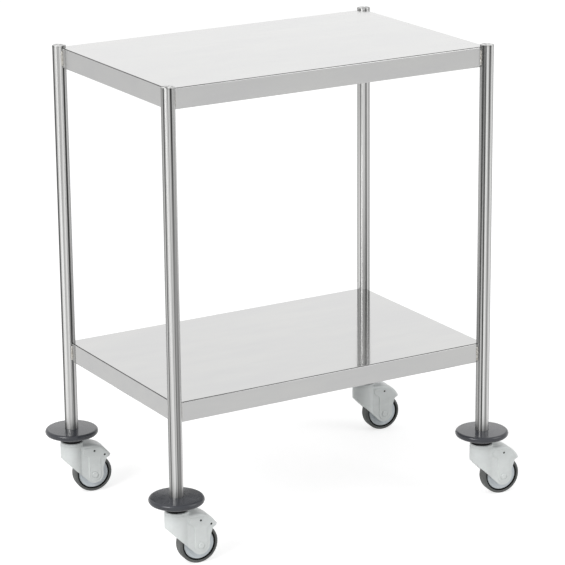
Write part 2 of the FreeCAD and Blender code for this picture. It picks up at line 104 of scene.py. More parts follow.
def modified(mesh, kind, **settings):
    """Plain mesh that one modifier makes from a mesh."""
    carrier = bpy.data.objects.new("carrier", mesh)
    bpy.context.scene.collection.objects.link(carrier)
    modifier = carrier.modifiers.new(kind, kind)
    for setting, value in settings.items():
        setattr(modifier, setting, value)
    graph = bpy.context.evaluated_depsgraph_get()
    result = bpy.data.meshes.new_from_object(carrier.evaluated_get(graph))
    bpy.data.objects.remove(carrier)
    return result


def finished(name, mesh, material, body, replaced, sharp=35.0):
    """Object from a mesh that is already in place: shaded, dressed and riding.

    Edges that turn by more than sharp, in degrees, stay crisp.
    """
    build = bmesh.new()
    build.from_mesh(mesh)
    bmesh.ops.remove_doubles(build, verts=build.verts, dist=JOIN_DISTANCE)
    bmesh.ops.recalc_face_normals(build, faces=build.faces)
    build.to_mesh(mesh)
    build.free()
    mesh.shade_smooth()
    mesh.set_sharp_from_angle(angle=math.radians(sharp))
    mesh = modified(mesh, "WEIGHTED_NORMAL", keep_sharp=True)
    mesh.materials.clear()
    mesh.materials.append(material)
    piece = bpy.data.objects.new(name, mesh)
    bpy.context.scene.collection.objects.link(piece)
    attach(piece, body)
    if replaced:
        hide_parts(replaced)
    return piece


def rounded(corners, steps=5):
    """Points of an outline whose corners (u, v, radius) are rounded by arcs."""
    points = []
    count = len(corners)
    for index, (u, v, radius) in enumerate(corners):
        corner = Vector((u, v))
        if radius == 0:
            points.append(corner)
            continue
        before = Vector(corners[index - 1][:2]) - corner
        after = Vector(corners[(index + 1) % count][:2]) - corner
        before.normalize()
        after.normalize()
        half = before.angle(after) / 2
        centre = corner + (before + after).normalized() * (radius / math.sin(half))
        first = corner + before * (radius / math.tan(half)) - centre
        sweep = math.pi - 2 * half
        if first.y * before.x - first.x * before.y < 0:
            sweep = -sweep
        for step in range(steps + 1):
            turned = Matrix.Rotation(sweep * step / steps, 2) @ first
            points.append(centre + turned)
    return points


def lathe(name, corners, place, segments=96, steps=5):
    """Mesh turned round Z from outline corners (radius, height, rounding), then placed."""
    tiny = JOIN_DISTANCE / 10
    outline = rounded(corners, steps)
    count = len(outline)
    vertices = []
    faces = []
    for segment in range(segments):
        angle = 2 * math.pi * segment / segments
        for radius, height in outline:
            vertices.append((radius * math.cos(angle), radius * math.sin(angle), height))
    for segment in range(segments):
        here = segment * count
        there = (segment + 1) % segments * count
        for step in range(count):
            ahead = (step + 1) % count
            faces.append((here + step, there + step, there + ahead, here + ahead))
    mesh = bpy.data.meshes.new(name)
    mesh.from_pydata(vertices, [], faces)
    build = bmesh.new()
    build.from_mesh(mesh)
    bmesh.ops.remove_doubles(build, verts=build.verts, dist=tiny)
    bmesh.ops.dissolve_degenerate(build, edges=build.edges, dist=tiny)
    build.to_mesh(mesh)
    build.free()
    mesh.transform(place)
    return mesh


def copied(node):
    """Copy of a CAD node's mesh with its loose triangles joined."""
    mesh = frame["nodes"][node].data.copy()
    build = bmesh.new()
    build.from_mesh(mesh)
    bmesh.ops.remove_doubles(build, verts=build.verts, dist=JOIN_DISTANCE)
    bmesh.ops.dissolve_limit(build, angle_limit=math.radians(0.6),
                             verts=build.verts, edges=build.edges)
    build.to_mesh(mesh)
    build.free()
    return mesh


def with_rounded_edges(mesh, width):
    """The mesh with its sharp edges given a small moulded radius."""
    return modified(mesh, "BEVEL", width=width, segments=2, limit_method="ANGLE",
                    angle_limit=math.radians(40), use_clamp_overlap=True)


# Materials

def add_node(tree, kind, settings=(), values=(), links=()):
    """Add a node, set its attributes and socket values, and link its inputs."""
    made = tree.nodes.new(kind)
    for name, value in dict(settings).items():
        setattr(made, name, value)
    for socket, value in dict(values).items():
        made.inputs[socket].default_value = value
    for socket, source in dict(links).items():
        tree.links.new(source, made.inputs[socket])
    return made


def shades(colour, drift):
    """Two shades, one either side of a colour."""
    return [[channel * factor for channel in colour[:3]] + [1.0]
            for factor in (1 - drift, 1 + drift)]


# Noise values between which a colour, and a roughness, goes from its least to its most
COLOUR_REACH = (0.36, 0.64)
ROUGHNESS_REACH = (0.3, 0.7)
# Each layer reads the noise this much further on, so that no two layers match
LAYER_SHIFT = 1.7


def layered(name, layers, **values):
    """Material whose colour, roughness and relief each follow a noise over the object.

    A layer is what it drives, its cells per millimetre along X, Y and Z, the noise's detail, and
    the least and most it gives: two colours, two roughnesses or two heights in metres. Values
    that are the same all over are set on the shader itself.
    """
    material = bpy.data.materials.new(name)
    material.use_nodes = True
    tree = material.node_tree
    shader = tree.nodes["Principled BSDF"]
    for socket, value in values.items():
        shader.inputs[socket.replace("_", " ")].default_value = value
    place = add_node(tree, "ShaderNodeTexCoord")
    below = {}
    for number, (drives, cells, detail, low, high) in enumerate(layers):
        mapping = add_node(tree, "ShaderNodeMapping",
                           values={"Scale": [count / MM for count in cells],
                                   "Location": [LAYER_SHIFT * number] * 3},
                           links={"Vector": place.outputs["Object"]})
        noise = add_node(tree, "ShaderNodeTexNoise",
                         values={"Scale": 1.0, "Detail": detail, "Roughness": 0.6},
                         links={"Vector": mapping.outputs["Vector"]})
        if drives == "colour":
            ramp = add_node(tree, "ShaderNodeValToRGB", links={"Fac": noise.outputs["Fac"]})
            ends = zip(ramp.color_ramp.elements, COLOUR_REACH, (low, high))
            for element, position, colour in ends:
                element.position = position
                element.color = colour
            tree.links.new(ramp.outputs["Color"], shader.inputs["Base Color"])
        elif drives == "roughness":
            start, end = ROUGHNESS_REACH
            spread = add_node(tree, "ShaderNodeMapRange",
                              values={"From Min": start, "From Max": end,
                                      "To Min": low, "To Max": high},
                              links={"Value": noise.outputs["Fac"]})
            tree.links.new(spread.outputs["Result"], shader.inputs["Roughness"])
        else:
            bump = add_node(tree, "ShaderNodeBump", values={"Distance": high - low},
                            links={"Height": noise.outputs["Fac"], **below})
            below = {"Normal": bump.outputs["Normal"]}
            tree.links.new(bump.outputs["Normal"], shader.inputs["Normal"])
    return material


def brushed_sheet(name, low, high, rough_low, rough_high, wave):
    """Stainless sheet, belt brushed along the long side and lightly polished.

    The eye sees a soft grey mirror, very faintly clouded, whose reflections ripple a little.
    """
    # Brush lines are about 0.05 mm apart; they are drawn 0.6 mm apart so that they show
    lines = (0.02, 1.6, 1.6)
    return layered(name, [
        ("colour", (0.006, 0.02, 0.03), 4, linear(low), linear(high)),
        ("roughness", lines, 5, rough_low, rough_high),
        ("relief", (0.006, 0.009, 0.02), 1, 0, wave),
        ("relief", lines, 5, 0, 0.002 * MM),
    ], Metallic=1.0)


def polished_tube_painted_streaks(name):
    """Stainless tube, drawn and then polished along its length.

    The eye sees bright and dark upright streaks that run the tube's whole length. Drawing leaves
    fine flats there, but the near-black and bright colour bands are painted reflections of dark
    and bright surroundings. The polish spreads every light round them.
    """
    return layered(name, [
        # Painted reflection streaks, dark and bright, a few millimetres wide, running the tube's
        # length
        ("colour", (0.19, 0.19, 0.0004), 2, linear("#262626"), linear("#D2D2D1")),
        # Polishing lines are under 0.05 mm wide; drawn about 0.4 mm wide, they show
        ("roughness", (1.2, 1.2, 0.002), 3, 0.28, 0.34),
    ], Metallic=1.0, Anisotropic=0.8, Anisotropic_Rotation=0.25)


def fold_painted_dark_reflection(name):
    """Stainless sheet along the upper half of each fold, dull where the press brake stretched it;
    its darker colour is a painted dark reflection line.
    """
    return layered(name, [
        # Dark grey: painted reflection line along the fold
        ("colour", (0.02, 0.02, 0.3), 4, linear("#444444"), linear("#606060")),
        ("roughness", (0.3, 0.3, 0.3), 4, 0.3, 0.5),
    ], Metallic=1.0)


def ground_weld(name):
    """Stainless weld bead, hand ground and left matt, very slightly warm from the heat."""
    grit = (2.5, 2.5, 2.5)
    return layered(name, [
        ("colour", (0.35, 0.35, 0.25), 4, linear("#A29E97"), linear("#C2C1BE")),
        ("roughness", grit, 3, 0.3, 0.5),
        ("relief", grit, 3, 0, 0.03 * MM),
    ], Metallic=1.0)


def moulded_rubber(name, colours, rough_low, rough_high, grain, depth, shine=0.5):
    """Compression moulded rubber: semi-gloss skin with faint bloom and handling marks."""
    return layered(name, [
        ("colour", (0.03, 0.03, 0.05), 5, *colours),
        ("roughness", (0.12, 0.12, 0.4), 5, rough_low, rough_high),
        ("relief", (grain, grain, grain), 2, 0, depth),
    ], IOR=1.5, Specular_IOR_Level=shine)


def moulded_plastic(name, colours, grain):
    """Injection moulded nylon with a fine spark texture and faint flow marks.

    The eye sees a soft even sheen that breaks up close to, and very slight clouding.
    """
    return layered(name, [
        ("colour", (0.05, 0.05, 0.08), 4, *colours),
        ("roughness", (0.25, 0.25, 0.25), 4, 0.34, 0.48),
        ("relief", (grain, grain, grain), 2, 0, 0.012 * MM),
    ], IOR=1.5)


def plated_steel(name, low, high):
    """Plated steel, dull with a slight mottle from the bath; in near black it is the pins' painted
    hole shade.
    """
    mottle = (0.5, 0.5, 0.5)
    return layered(name, [
        ("colour", mottle, 4, linear(low), linear(high)),
        ("roughness", mottle, 4, 0.25, 0.45),
    ], Metallic=1.0)


def make_finishes():
    """All finishes by short name."""
    picked = bpy.context.scene.trolley_colours
    buffer = shades(picked.buffer_colour, 0.12)
    tyre = shades(picked.tyre_colour, 0.14)
    housing = shades(picked.housing_colour, 0.025)
    disc = shades(picked.disc_colour, 0.03)
    black = (linear("#070808"), linear("#101112"))
    sleeve = (linear("#1E1F20"), linear("#2A2B2C"))
    return {
        "top": brushed_sheet("stainless_sheet_brushed_satin",
                             "#B1B1B1", "#B4B4B3", 0.19, 0.24, 0.03 * MM),
        # Same steel as the top sheet, a shade darker: painted shade where the lower shelf sits
        # under the trolley; its lower roughness is the real polish
        "lower": brushed_sheet("stainless_sheet_polished",
                               "#AEAEAE", "#B1B1B0", 0.06, 0.08, 0.04 * MM),
        "channel": brushed_sheet("stainless_channel_mill_finish",
                                 "#A2A3A4", "#B2B2B2", 0.30, 0.45, 0.02 * MM),
        # Painted dark reflection line along the shelves' folds
        "bend": fold_painted_dark_reflection("stainless_fold_painted_dark_reflection"),
        # Tube and caps carry painted dark and bright reflection streaks
        "tube": polished_tube_painted_streaks("stainless_tube_polished_painted_streaks"),
        "weld": ground_weld("stainless_weld_ground"),
        "buffer": moulded_rubber("rubber_buffer_moulded", buffer, 0.14, 0.26, 0.9, 0.01 * MM),
        "tyre": moulded_rubber("elastic_rubber_tyre", tyre, 0.55, 0.75, 1.6, 0.03 * MM),
        "black": moulded_rubber("black_rubber_ring", black, 0.55, 0.70, 1.2, 0.015 * MM,
                                shine=0.15),
        "sleeve": moulded_rubber("rubber_sleeve_extruded", sleeve, 0.55, 0.7, 0.8, 0.03 * MM),
        "housing": moulded_plastic("nylon_housing_spark_textured", housing, 1.4),
        "disc": moulded_plastic("nylon_wheel_disc_satin", disc, 1.1),
        "plated": plated_steel("steel_zinc_plated", "#8E9094", "#B4B6B8"),
        # Near-black pin ends: painted shade of the holes they sit in
        "dark_pin": plated_steel("steel_pin_painted_hole_shade", "#141415", "#222324"),
    }


FINISH = {}


# Shelves

def shelf_loop(size, inset, height, notch, corner_steps=12):
    """One closed loop round a shelf, this far in from its sides, notched round each leg."""
    half = size / 2
    points = []
    for sx, sy, swapped in ((-1, -1, True), (1, -1, False), (1, 1, True), (-1, 1, False)):
        for step in range(corner_steps + 1):
            share = step / corner_steps
            if inset < notch * math.sqrt(0.5):
                start = math.asin(inset / notch)
                angle = start + (math.pi / 2 - 2 * start) * share
                along = notch * math.cos(angle)
                down = notch * math.sin(angle)
            else:
                along = inset + max(0.0, 0.5 - share) * inset
                down = inset + max(0.0, share - 0.5) * inset
            # Corners run from one side to the next, so every second one is swapped
            if swapped:
                along, down = down, along
            points.append(Vector((sx * (half.x - along), sy * (half.y - down), height)))
    return points


def quarter(centre, radius, start, steps=6):
    """Points (inset, height) of a quarter circle from an angle in quarter turns."""
    angles = [math.pi / 2 * (start + step / steps) for step in range(steps + 1)]
    return [(centre[0] + radius * math.cos(a), centre[1] + radius * math.sin(a)) for a in angles]


def folded_shelf(name, finish):
    """Sheet with folded skirts and return lips, open below, notched round the legs."""
    settings = bpy.context.scene.trolley_sizes
    low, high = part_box(name)
    size = Vector((high.x - low.x, high.y - low.y))
    centre = Vector(((high.x + low.x) / 2, (high.y + low.y) / 2, 0))
    # The notch ends inside the tube's wall, so that no gap shows
    notch = tube_radius() - settings.tube_wall / 2
    fold = settings.fold_radius
    sheet = settings.sheet_thickness
    lip = settings.return_lip
    upper = (fold, high.z - fold)
    lower = (fold, low.z + fold)
    profile = quarter(upper, fold, 1) + quarter(lower, fold, 2)
    profile += [(lip, low.z), (lip, low.z + sheet)]
    profile += quarter(lower, fold - sheet, 2)[::-1] + quarter(upper, fold - sheet, 1)[::-1]
    loops = [shelf_loop(size, inset, height, notch) for inset, height in profile]
    vertices = [point + centre for loop in loops for point in loop]
    count = len(loops[0])
    faces = []
    for row in range(len(loops) - 1):
        for step in range(count):
            ahead = (step + 1) % count
            faces.append((row * count + step, row * count + ahead,
                          (row + 1) * count + ahead, (row + 1) * count + step))
    faces.append(tuple(range(count)))
    last = (len(loops) - 1) * count
    faces.append(tuple(range(last + count - 1, last - 1, -1)))
    mesh = bpy.data.meshes.new(name)
    mesh.from_pydata(vertices, [], faces)
    piece = finished(name + "_sheet", mesh, FINISH[finish], "frame", name,
                     sharp=50.0)
    # The upper half of each fold gets the darker colour: a painted dark reflection line along the
    # edge
    piece.data.materials.append(FINISH["bend"])
    for face in piece.data.polygons:
        if 0.5 < face.normal.z < 0.99:
            face.material_index = 1
    return piece


# Legs

def tube_radius():
    """Outer radius of the leg tubes."""
    low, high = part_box("leg_front_left")
    return (high.x - low.x) / 2


def leg_tube(name):
    """Open tube with its real wall."""
    low, high = height_range("leg_" + name)
    radius = tube_radius()
    wall = bpy.context.scene.trolley_sizes.tube_wall
    bore = radius - wall
    corners = [(radius, low, 0), (radius, high, 0), (bore, high, 0), (bore, low, 0)]
    mesh = lathe("tube", corners, Matrix.Translation(leg_axis(name)), segments=128)
    return finished("tube_" + name, mesh, FINISH["tube"], "frame", "leg_" + name)


def leg_caps():
    """One flat cap with a rounded edge and a hollow spigot for each leg."""
    tube_top = height_range("leg_front_left")[1]
    low, high = height_range("leg_caps")
    radius = tube_radius()
    wall = bpy.context.scene.trolley_sizes.tube_wall
    # The cap stands a hair above the tube, and its spigot is a loose fit in the bore
    seat = tube_top + 0.15 * MM
    spigot = radius - wall - 0.05 * MM
    hollow = spigot - 1.6 * MM
    joined = bmesh.new()
    for name in CASTORS:
        corners = [
            (0, high, 0), (radius, high, 1.1 * MM), (radius, seat, 0.1 * MM), (spigot, seat, 0),
            (spigot, low, 0), (hollow, low, 0), (hollow, tube_top, 0), (0, tube_top, 0),
        ]
        mesh = lathe("cap", corners, Matrix.Translation(leg_axis(name)), segments=96)
        joined.from_mesh(mesh)
        bpy.data.meshes.remove(mesh)
    mesh = bpy.data.meshes.new("caps")
    joined.to_mesh(mesh)
    joined.free()
    return finished("end_caps", mesh, FINISH["tube"], "frame", "leg_caps")


# Welds, made by a node tree that repeats a ripple along each seam

def weld_tree():
    """Ripples stacked along a seam at each point of the input mesh."""
    tree = bpy.data.node_groups.new("weld_ripples", "GeometryNodeTree")
    sockets = tree.interface
    sockets.new_socket("Seams", in_out="INPUT", socket_type="NodeSocketGeometry")
    defaults = {"Seam Height": 32 * MM, "Pitch": 1.5 * MM, "Bead Radius": 2.3 * MM}
    for label, default in defaults.items():
        item = sockets.new_socket(label, in_out="INPUT", socket_type="NodeSocketFloat")
        item.default_value = default
    seed = sockets.new_socket("Seed", in_out="INPUT", socket_type="NodeSocketInt")
    seed.default_value = 7
    sockets.new_socket("Finish", in_out="INPUT", socket_type="NodeSocketMaterial")
    sockets.new_socket("Beads", in_out="OUTPUT", socket_type="NodeSocketGeometry")
    given = add_node(tree, "NodeGroupInput")
    count = add_node(tree, "ShaderNodeMath", {"operation": "DIVIDE"},
                     links={0: given.outputs["Seam Height"], 1: given.outputs["Pitch"]})
    rise = add_node(tree, "ShaderNodeCombineXYZ", links={"Z": given.outputs["Pitch"]})
    line = add_node(tree, "GeometryNodeMeshLine",
                    links={"Count": count.outputs["Value"], "Offset": rise.outputs["Vector"]})
    ball = add_node(tree, "GeometryNodeMeshUVSphere", values={"Segments": 12, "Rings": 8},
                    links={"Radius": given.outputs["Bead Radius"]})
    # Each ripple is a flattened ball of its own size, leaning a little and turned anyhow
    size = add_node(tree, "FunctionNodeRandomValue", {"data_type": "FLOAT_VECTOR"},
                    {"Min": (0.9, 0.9, 0.5), "Max": (1.0, 1.0, 0.62)},
                    {"Seed": given.outputs["Seed"]})
    lean = add_node(tree, "FunctionNodeRandomValue", {"data_type": "FLOAT_VECTOR"},
                    {"Min": (-0.2, -0.2, -3.1), "Max": (0.2, 0.2, 3.1)},
                    {"Seed": given.outputs["Seed"]})
    stack = add_node(tree, "GeometryNodeInstanceOnPoints",
                     links={"Points": line.outputs["Mesh"], "Instance": ball.outputs["Mesh"],
                            "Scale": size.outputs["Value"], "Rotation": lean.outputs["Value"]})
    seams = add_node(tree, "GeometryNodeInstanceOnPoints",
                     links={"Points": given.outputs["Seams"],
                            "Instance": stack.outputs["Instances"]})
    real = add_node(tree, "GeometryNodeRealizeInstances",
                    links={"Geometry": seams.outputs["Instances"]})
    dressed = add_node(tree, "GeometryNodeSetMaterial",
                       links={"Geometry": real.outputs["Geometry"],
                              "Material": given.outputs["Finish"]})
    add_node(tree, "NodeGroupOutput", links={"Beads": dressed.outputs["Geometry"]})
    return tree


def grown(tree, points, inputs):
    """Plain mesh that a node tree grows on loose points."""
    base = bpy.data.meshes.new("points")
    base.from_pydata(points, [], [])
    carrier = bpy.data.objects.new("carrier", base)
    bpy.context.scene.collection.objects.link(carrier)
    modifier = carrier.modifiers.new("Grow", "NODES")
    modifier.node_group = tree
    for item in tree.interface.items_tree:
        if item.item_type == "SOCKET" and item.in_out == "INPUT" and item.name in inputs:
            modifier[item.identifier] = inputs[item.name]
    graph = bpy.context.evaluated_depsgraph_get()
    mesh = bpy.data.meshes.new_from_object(carrier.evaluated_get(graph))
    bpy.data.objects.remove(carrier)
    return mesh


def shelf_welds(level, tree):
    """Rippled beads in the corners between a shelf's skirts and the tubes."""
    node = level + "_shelf_welds"
    low, high = height_range(node)
    settings = bpy.context.scene.trolley_sizes
    radius = tube_radius()
    centre = (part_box("top_shelf")[0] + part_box("top_shelf")[1]) / 2
    # The bead's middle stands just off the corner, so that most of it is sunk in the steel
    off = settings.weld_radius * 0.06
    foot = low + settings.weld_radius
    points = []
    for name in CASTORS:
        axis = leg_axis(name)
        sx = math.copysign(1, axis.x - centre.x)
        sy = math.copysign(1, axis.y - centre.y)
        points.append((axis.x - sx * (radius + off), axis.y + sy * off, foot))
        points.append((axis.x + sx * off, axis.y - sy * (radius + off), foot))
    inputs = {
        "Seam Height": high - low - 2 * settings.weld_radius,
        "Pitch": settings.weld_pitch,
        "Bead Radius": settings.weld_radius,
        "Finish": FINISH["weld"],
    }
    mesh = grown(tree, points, inputs)
    return finished(level + "_corner_beads", mesh, FINISH["weld"], "frame", node,
                    sharp=60.0)


# Castors

def buffer_disc(name):
    """Rubber disc with a rounded rim, a mould line, a neck and a lip round the tube."""
    box_low, box_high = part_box(name + "_buffer")
    low = box_low.z
    high = box_high.z
    radius = (box_high.x - box_low.x) / 2
    foot = height_range("leg_" + name)[0]
    bore = 6.1 * MM
    neck = 22 * MM
    socket = 12.75 * MM
    rim_low = low + 11 * MM
    rim_high = low + 22 * MM
    rim_round = 5 * MM
    # The mould line is a fine ridge round the middle of the rim
    middle = (rim_low + rim_high) / 2
    ridge_foot = 0.25 * MM
    ridge_top = 0.1 * MM
    rim = radius - ridge_foot
    corners = [
        (bore, low, 0), (neck, low, 0.6 * MM), (neck, rim_low - 1 * MM, 3 * MM),
        (rim, rim_low, rim_round), (rim, middle - ridge_foot, 0), (radius, middle - ridge_top, 0),
        (radius, middle + ridge_top, 0), (rim, middle + ridge_foot, 0), (rim, rim_high, rim_round),
        (socket, high, 0.5 * MM), (socket, foot, 0), (bore, foot, 0),
    ]
    mesh = lathe("buffer", corners, Matrix.Translation(leg_axis(name)), segments=128, steps=8)
    return finished(name + "_buffer_disc", mesh, FINISH["buffer"], "frame",
                    name + "_buffer")


def housing(name):
    """Moulded fork with softened edges."""
    mesh = with_rounded_edges(copied(name + "_fork"), width=0.5 * MM)
    return finished(name + "_housing", mesh, FINISH["housing"], name + "_castor",
                    name + "_fork")


def pin(name, node):
    """Pin through both cheeks of a housing, longer than the frame's plain one, so that its
    near-black end fills the hole: painted shade of the pin hole.
    """
    place = wheel_frame(name)
    points = [place.inverted() @ vertex.co for vertex in frame["nodes"][node].data.vertices]
    low, high = [Vector([pick(point[axis] for point in points) for axis in range(3)])
                 for pick in (min, max)]
    radius = (high.x - low.x) / 2
    # The pin reaches nearly to the housing's face, so that its dark end shows as painted hole
    # shade
    half = high.z + bpy.context.scene.trolley_sizes.pin_growth
    corners = [(0, -half, 0), (radius, -half, 0.3 * MM), (radius, half, 0.3 * MM), (0, half, 0)]
    centre = (low + high) / 2
    mesh = lathe("pin", corners, place @ Matrix.Translation((centre.x, centre.y, 0)), segments=48)
    return finished(node + "_rod", mesh, FINISH["dark_pin"], name + "_castor",
                    node)


def axle_caps(name):
    """Axle with its round end caps."""
    mesh = with_rounded_edges(copied(name + "_axle"), width=0.3 * MM)
    return finished(name + "_axle_pin", mesh, FINISH["housing"], name + "_castor",
                    name + "_axle")


def pedal(name):
    """Brake lever that forms the housing's nose."""
    mesh = with_rounded_edges(copied(name + "_brake_pedal"), width=0.6 * MM)
    return finished(name + "_pedal", mesh, FINISH["housing"], name + "_brake",
                    name + "_brake_pedal")


def mirrored(half):
    """Outline from a half that runs down one side, closed by its mirror image."""
    return half + [(radius, -along, rounding) for radius, along, rounding in reversed(half)]


def wheel(name):
    """Tyre, disc and dark rings of one wheel, each turned to its own section.

    A section's corners are (radius, distance from the wheel's middle, rounding).
    """
    place = wheel_frame(name)
    body = name + "_wheel"
    radius = 37.5 * MM
    half_tread = 12 * MM
    # The tread's edge is this much inside the mould line round its middle
    tread = radius - 0.1 * MM
    # Between these radii a groove in each side of the tyre, this far from its middle, holds a ring
    groove_inner = 29.3 * MM
    groove_outer = 31.9 * MM
    groove_floor = 8.5 * MM
    ring_face = 10.3 * MM
    disc_face = 9.4 * MM
    boss = 9 * MM
    boss_face = 13.7 * MM
    tyre = mirrored([
        (groove_inner, -groove_floor, 0), (groove_outer, -groove_floor, 0),
        (groove_outer, -11 * MM, 0.3 * MM), (groove_outer + 1 * MM, -half_tread, 0.6 * MM),
        (tread, -half_tread, 4.4 * MM), (tread, -0.35 * MM, 0), (radius, -0.12 * MM, 0),
    ])
    mesh = lathe("tyre", tyre, place, segments=160, steps=8)
    finished(name + "_tyre_ring", mesh, FINISH["tyre"], body, name + "_tyre")
    disc = mirrored([
        (4.05 * MM, -boss_face, 0), (boss, -boss_face, 0.6 * MM), (boss, -8.6 * MM, 1.5 * MM),
        (22.5 * MM, -9.2 * MM, 0.6 * MM), (23.3 * MM, -disc_face, 0.6 * MM),
        (groove_inner, -disc_face, 0.8 * MM),
    ])
    mesh = lathe("disc", disc, place, segments=128, steps=5)
    finished(name + "_wheel_disc", mesh, FINISH["disc"], body, name + "_hub")
    rings = bmesh.new()
    for side in (-1, 1):
        ring = [
            (groove_inner, side * groove_floor, 0), (groove_outer, side * groove_floor, 0),
            (groove_outer, side * ring_face, 0.5 * MM), (groove_inner, side * ring_face, 0.5 * MM),
        ]
        mesh = lathe("ring", ring, place, segments=128, steps=3)
        rings.from_mesh(mesh)
        bpy.data.meshes.remove(mesh)
    mesh = bpy.data.meshes.new("rings")
    rings.to_mesh(mesh)
    rings.free()
    finished(name + "_dark_rings", mesh, FINISH["black"], body,
             name + "_thread_guards")


# Sizes and operators

class TrolleySizes(bpy.types.PropertyGroup):
    """Sizes of the finished pieces that the frame doesn't fix"""

    fold_radius: bpy.props.FloatProperty(
        name="Fold Radius", description="Outer radius of the shelves' folded edges",
        default=2.2 * MM, min=1.3 * MM, unit="LENGTH")
    sheet_thickness: bpy.props.FloatProperty(
        name="Sheet Thickness", description="Thickness of the shelves' sheet",
        default=1.2 * MM, unit="LENGTH")
    return_lip: bpy.props.FloatProperty(
        name="Return Lip", description="Width of the lip turned in under each skirt",
        default=13 * MM, unit="LENGTH")
    tube_wall: bpy.props.FloatProperty(
        name="Tube Wall", description="Wall thickness of the leg tubes",
        default=1.2 * MM, unit="LENGTH")
    weld_pitch: bpy.props.FloatProperty(
        name="Weld Pitch", description="Distance from one weld ripple to the next",
        default=1.5 * MM, unit="LENGTH")
    # The pins grow so that their dark ends fill the holes: painted hole shade
    pin_growth: bpy.props.FloatProperty(
        name="Pin Growth",
        description="How far each end of the housing pins reaches past the plain frame's",
        default=3.0 * MM, unit="LENGTH")
    weld_radius: bpy.props.FloatProperty(
        name="Weld Radius", description="Radius of a weld ripple",
        default=2.3 * MM, unit="LENGTH")


class TrolleyColours(bpy.types.PropertyGroup):
    """Colours of the moulded pieces"""

    housing_colour: bpy.props.FloatVectorProperty(
        name="Housing Colour",
        description="Colour of the castor housings, axle caps and brake pedals",
        default=linear("#E6EAE9")[:3], min=0, max=1, subtype="COLOR")
    disc_colour: bpy.props.FloatVectorProperty(
        name="Wheel Disc Colour", description="Colour of the wheel discs",
        default=linear("#DAE1E5")[:3], min=0, max=1, subtype="COLOR")
    buffer_colour: bpy.props.FloatVectorProperty(
        name="Buffer Colour", description="Colour of the rubber buffers under the legs",
        default=linear("#393B41")[:3], min=0, max=1, subtype="COLOR")
    tyre_colour: bpy.props.FloatVectorProperty(
        name="Tyre Colour", description="Colour of the tyres",
        default=linear("#626463")[:3], min=0, max=1, subtype="COLOR")


class TROLLEY_OT_finishes(bpy.types.Operator):
    """Make the materials, in the colours that the panel shows"""

    bl_idname = "trolley.finishes"
    bl_label = "Make Finishes"

    def execute(self, context):
        FINISH.update(make_finishes())
        return {"FINISHED"}


class TROLLEY_OT_shelves(bpy.types.Operator):
    """Add the two folded shelves"""

    bl_idname = "trolley.shelves"
    bl_label = "Add Shelves"

    def execute(self, context):
        folded_shelf("top_shelf", "top")
        folded_shelf("lower_shelf", "lower")
        for level in ("top", "lower"):
            channels = frame["nodes"][level + "_shelf_stiffeners"]
            channels.data.materials.clear()
            channels.data.materials.append(FINISH["channel"])
        return {"FINISHED"}


class TROLLEY_OT_legs(bpy.types.Operator):
    """Add the four leg tubes and their end caps"""

    bl_idname = "trolley.legs"
    bl_label = "Add Legs"

    def execute(self, context):
        for name in CASTORS:
            leg_tube(name)
        leg_caps()
        return {"FINISHED"}


class TROLLEY_OT_welds(bpy.types.Operator):
    """Add the rippled weld beads at the shelf corners"""

    bl_idname = "trolley.welds"
    bl_label = "Add Welds"

    def execute(self, context):
        tree = weld_tree()
        for level in ("top", "lower"):
            shelf_welds(level, tree)
        return {"FINISHED"}


class TROLLEY_OT_buffers(bpy.types.Operator):
    """Add the rubber buffer under each leg"""

    bl_idname = "trolley.buffers"
    bl_label = "Add Buffers"

    def execute(self, context):
        for name in CASTORS:
            buffer_disc(name)
        return {"FINISHED"}


class TROLLEY_OT_housings(bpy.types.Operator):
    """Add the castor housings with their axles and brake pedals"""

    bl_idname = "trolley.housings"
    bl_label = "Add Castor Housings"

    def execute(self, context):
        for name in CASTORS:
            housing(name)
            axle_caps(name)
            pin(name, name + "_housing_pin")
        for name in BRAKED:
            pedal(name)
            pin(name, name + "_pedal_pin")
        return {"FINISHED"}


class TROLLEY_OT_wheels(bpy.types.Operator):
    """Add the tyre, disc and dark rings of each wheel"""

    bl_idname = "trolley.wheels"
    bl_label = "Add Wheels"

    def execute(self, context):
        for name in CASTORS:
            wheel(name)
        return {"FINISHED"}


class TROLLEY_OT_inner_parts(bpy.types.Operator):
    """Give the small steel and rubber parts their finishes"""

    bl_idname = "trolley.inner_parts"
    bl_label = "Finish Inner Parts"

    def execute(self, context):
        finishes = {
            "_stem": "plated", "_swivel_bearing": "plated",
            "_expander": "sleeve", "_swivel_seal": "black",
        }
        for node, piece in frame["nodes"].items():
            for ending, finish in finishes.items():
                if node.endswith(ending):
                    piece.data.materials.clear()
                    piece.data.materials.append(FINISH[finish])
        return {"FINISHED"}


# Stage

def background_rays(tree):
    """1 for rays that show the background: to the camera, off metal or through glass."""
    path = add_node(tree, "ShaderNodeLightPath")
    either = add_node(tree, "ShaderNodeMath", {"operation": "MAXIMUM"},
                      links={0: path.outputs["Is Camera Ray"], 1: path.outputs["Is Glossy Ray"]})
    return add_node(tree, "ShaderNodeMath", {"operation": "MAXIMUM"},
                    links={0: either.outputs["Value"], 1: path.outputs["Is Transmission Ray"]})


